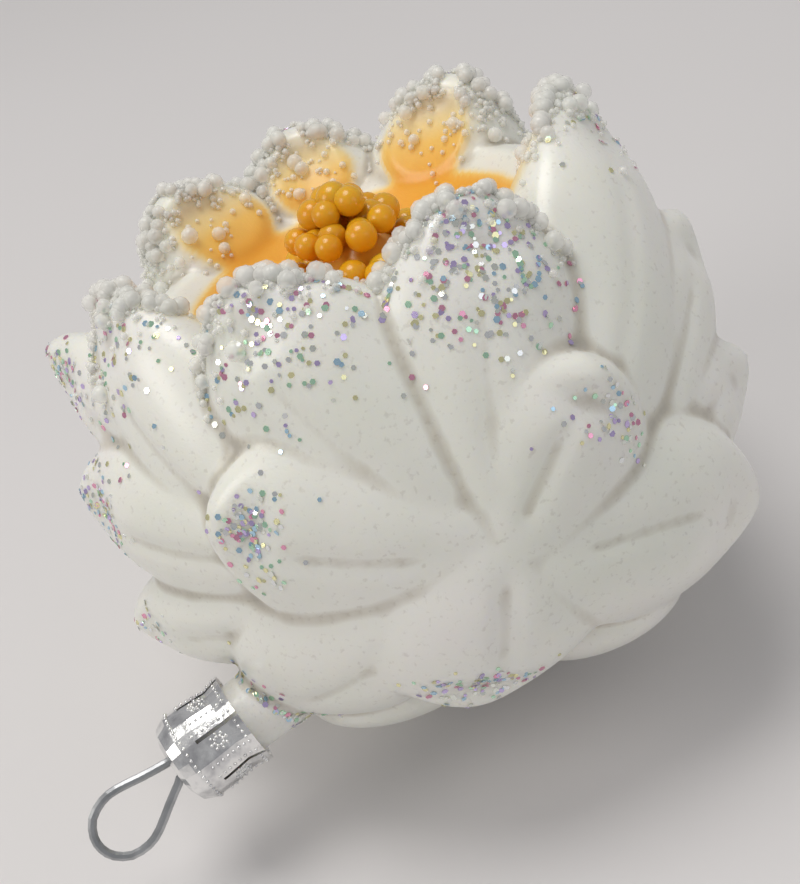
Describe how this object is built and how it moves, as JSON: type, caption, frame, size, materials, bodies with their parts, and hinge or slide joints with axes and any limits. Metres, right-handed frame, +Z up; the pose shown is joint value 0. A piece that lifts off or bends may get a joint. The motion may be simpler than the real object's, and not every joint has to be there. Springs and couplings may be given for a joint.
{
  "type": "glass water lily ornament",
  "caption": "Blown-glass hanging ornament shaped as an open water lily, with beaded petal tips, an amber bead centre, a metal cap and a wire loop.",
  "frame": {"origin": "centre of the footprint on the table, directly under the middle of the object's box, as the ornament lies on its base petals", "axes": "+Z up from the table; +X to the right and +Y away when the cap and loop lie at the front left"},
  "size_m": [0.0834, 0.0866, 0.0754],
  "materials": {
    "pearl_glass": "pearl lacquered, satin",
    "cap_silver": "stamped bright",
    "grey_wire": "drawn",
    "amber_glass": "glossy",
    "clear_bead_glass": "clear glossy"
  },
  "bodies": {
    "root": {"glass_lily": "pearl_glass", "metal_cap": "cap_silver", "wire_loop": "grey_wire", "amber_bead_01": "amber_glass", "amber_bead_02": "amber_glass", "amber_bead_03": "amber_glass", "amber_bead_04": "amber_glass", "amber_bead_05": "amber_glass", "amber_bead_06": "amber_glass", "amber_bead_07": "amber_glass", "amber_bead_08": "amber_glass", "amber_bead_09": "amber_glass", "amber_bead_10": "amber_glass", "amber_bead_11": "amber_glass", "amber_bead_12": "amber_glass", "amber_bead_13": "amber_glass", "amber_bead_14": "amber_glass", "amber_bead_15": "amber_glass", "amber_bead_16": "amber_glass", "amber_bead_17": "amber_glass", "amber_bead_18": "amber_glass", "bead_crust_1": "clear_bead_glass", "bead_crust_2": "clear_bead_glass", "bead_crust_3": "clear_bead_glass", "bead_crust_4": "clear_bead_glass", "bead_crust_5": "clear_bead_glass", "bead_crust_6": "clear_bead_glass", "bead_crust_7": "clear_bead_glass"}
  },
  "joints": []
}
